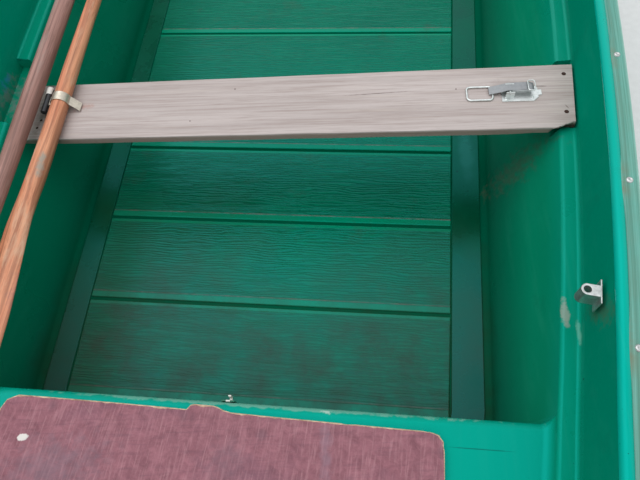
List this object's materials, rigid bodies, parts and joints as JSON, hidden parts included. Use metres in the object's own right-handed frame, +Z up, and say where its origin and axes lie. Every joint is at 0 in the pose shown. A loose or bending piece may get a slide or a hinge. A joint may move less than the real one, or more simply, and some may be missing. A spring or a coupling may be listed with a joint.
{
  "type": "rowing boat",
  "caption": "Small open double-skin rowing boat with a lapped hull, stern and bow benches, a loose thwart plank, stowed oars and rowlock sockets.",
  "frame": {"origin": "on the ground under the centre of the boat's box, at the underside of the keel and runners", "axes": "+X to starboard, +Y to the bow, +Z up"},
  "size_m": [1.6214, 3.7427, 0.69],
  "materials": {
    "board_wood": "faced plywood, worn, with bare splintered edges",
    "white_plastic": "moulded",
    "liner_gelcoat": "glossy gelcoat with light scratches",
    "zinc_steel": "zinc plated with rust spots",
    "strake": "weathered and streaked",
    "black_plastic": "moulded",
    "gunwale_gelcoat": "glossy gelcoat",
    "hull_gelcoat": "glossy weathered gelcoat",
    "oar_wood": "varnished pine, worn",
    "oar_wood_faded": "varnished pine, faded",
    "plank_wood": "bare weathered softwood",
    "pad_wood": "painted plywood"
  },
  "bodies": {
    "boat": {"bench_board": "board_wood", "bench_hook": "white_plastic", "bow_bench": "liner_gelcoat", "bow_bulkhead": "liner_gelcoat", "bow_eye": "zinc_steel", "bow_fender": "strake", "drain_plug": "black_plastic", "floor": "liner_gelcoat", "floor_planks": "liner_gelcoat", "foredeck": "liner_gelcoat", "gunwale_port": "gunwale_gelcoat", "gunwale_starboard": "gunwale_gelcoat", "gunwale_stern": "gunwale_gelcoat", "hull_shell": "hull_gelcoat", "keel": "hull_gelcoat", "latch_bail": "zinc_steel", "latch_base": "zinc_steel", "latch_lever": "zinc_steel", "ledge_port": "liner_gelcoat", "ledge_starboard": "liner_gelcoat", "rowlock_socket_port": "zinc_steel", "rowlock_socket_starboard": "zinc_steel", "rub_strake_port": "strake", "rub_strake_starboard": "strake", "rub_strake_stern": "strake", "runner_port": "hull_gelcoat", "runner_starboard": "hull_gelcoat", "side_panel_port": "liner_gelcoat", "side_panel_starboard": "liner_gelcoat", "stem_cap": "hull_gelcoat", "stern_bench": "liner_gelcoat", "stern_wall": "liner_gelcoat", "thwart_plank": "plank_wood", "transom": "hull_gelcoat", "transom_pad": "pad_wood", "upper_wall_port": "liner_gelcoat", "upper_wall_starboard": "liner_gelcoat"},
    "inner_oar": {"oar_inner": "oar_wood", "oar_inner_clamp": "zinc_steel", "oar_inner_pin": "black_plastic"},
    "outer_oar": {"oar_outer": "oar_wood_faded", "oar_outer_clamp": "zinc_steel", "oar_outer_pin": "black_plastic"}
  },
  "joints": [
    {"name": "inner_oar_lift", "type": "slide", "parent": "boat", "child": "inner_oar", "axis": [0, 0, 1], "range_m": [0, 0.3]},
    {"name": "outer_oar_lift", "type": "slide", "parent": "boat", "child": "outer_oar", "axis": [0, 0, 1], "range_m": [0, 0.3]}
  ]
}
